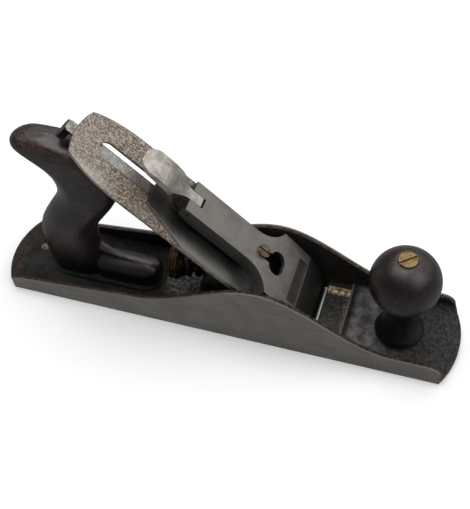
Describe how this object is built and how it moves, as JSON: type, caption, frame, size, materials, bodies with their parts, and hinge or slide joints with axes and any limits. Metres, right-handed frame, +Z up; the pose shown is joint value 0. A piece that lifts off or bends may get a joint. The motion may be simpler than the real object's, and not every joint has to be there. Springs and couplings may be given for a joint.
{
  "type": "jack plane",
  "caption": "Junior bench jack plane: cast sole with raised cheeks, pitched cutter under a lever cap, screw-adjusted frog, wooden rear grip and front knob.",
  "frame": {"origin": "middle of the sole's underside, midway between heel and toe and between the cheeks", "axes": "+X to the toe, +Y to the left cheek, +Z up from the sole"},
  "size_m": [0.292, 0.054, 0.133],
  "materials": {
    "casting": "worn black japanning inside, ground grey cheeks and sole",
    "frog_iron": "japanned casting",
    "steel_dark": "dark steel screws and small parts",
    "brass_old": "tarnished brass",
    "brass_clean": "polished brass",
    "cutter_steel": "mottled tool steel",
    "cap_iron_steel": "dark satin steel",
    "lever_cap_metal": "worn satin plate",
    "cam_metal": "worn plate, warm",
    "rosewood": "dark oiled rosewood"
  },
  "bodies": {
    "plane_body": {"body_casting": "casting", "frog_screws": "steel_dark", "frog_washers": "steel_dark", "tote": "rosewood", "tote_rod": "steel_dark", "tote_nut": "brass_clean", "knob": "rosewood", "knob_rod": "steel_dark", "knob_nut": "brass_clean"},
    "frog_body": {"frog": "frog_iron", "frog_clip": "steel_dark", "frog_clip_screw": "steel_dark", "adjusting_stud": "steel_dark", "yoke_pin": "steel_dark", "lateral_rivet": "steel_dark", "lever_cap_screw": "steel_dark"},
    "set_screw_body": {"frog_set_screw": "steel_dark"},
    "nut_body": {"adjusting_nut": "brass_old"},
    "yoke_body": {"yoke": "frog_iron"},
    "lateral_body": {"lateral_lever": "steel_dark"},
    "roller_body": {"lateral_roller": "steel_dark"},
    "lever_cap_body": {"lever_cap": "lever_cap_metal", "cam_pin": "steel_dark", "cap_spring": "steel_dark", "spring_rivet": "steel_dark"},
    "cam_body": {"cam_lever": "cam_metal"},
    "cutter_body": {"cutting_iron": "cutter_steel", "cap_iron": "cap_iron_steel", "cap_iron_screw": "steel_dark"}
  },
  "joints": [
    {"name": "frog_setting", "type": "slide", "parent": "plane_body", "child": "frog_body", "axis": [1, 0, 0], "range_m": [-0.00125, 0.00025]},
    {"name": "set_screw_turn", "type": "hinge", "parent": "frog_body", "child": "set_screw_body", "pos_m": [-0.0075, 0, 0.0094], "axis": [1, 0, 0], "range_deg": [-451, 91]},
    {"name": "depth_nut_turn", "type": "hinge", "parent": "frog_body", "child": "nut_body", "pos_m": [-0.027, 0, 0.0298], "axis": [1, 0, 0], "range_deg": [-503, 503]},
    {"name": "yoke_rock", "type": "hinge", "parent": "frog_body", "child": "yoke_body", "pos_m": [-0.009, 0, 0.05], "axis": [0, 1, 0], "range_deg": [-4.2, 4.2]},
    {"name": "lateral_swing", "type": "hinge", "parent": "frog_body", "child": "lateral_body", "pos_m": [-0.01107, 0, 0.0668], "axis": [0.7071, 0, 0.7071], "range_deg": [-2.2, 2.2]},
    {"name": "roller_spin", "type": "hinge", "parent": "lateral_body", "child": "roller_body", "pos_m": [-0.00061, 0, 0.05888], "axis": [0.7071, 0, 0.7071], "continuous": true},
    {"name": "lateral_swivel", "type": "hinge", "parent": "frog_body", "child": "lever_cap_body", "pos_m": [0.01625, 0, 0.04365], "axis": [0.7071, 0, 0.7071], "range_deg": [-1.35, 1.35]},
    {"name": "cam_lock", "type": "hinge", "parent": "lever_cap_body", "child": "cam_body", "pos_m": [-0.0109, 0, 0.0889], "axis": [0, 1, 0], "range_deg": [0, 80]},
    {"name": "cutter_feed", "type": "slide", "parent": "lever_cap_body", "child": "cutter_body", "axis": [0.7071, 0, -0.7071], "range_m": [-0.00105, 0.00105]}
  ],
  "couplings": [
    {"joint": "set_screw_turn", "follows": "frog_setting", "rad_per_m": 6283.2},
    {"joint": "depth_nut_turn", "follows": "cutter_feed", "rad_per_m": 8348.1},
    {"joint": "yoke_rock", "follows": "cutter_feed", "rad_per_m": 69.589},
    {"joint": "lateral_swivel", "follows": "lateral_swing", "ratio": -0.57269}
  ]
}
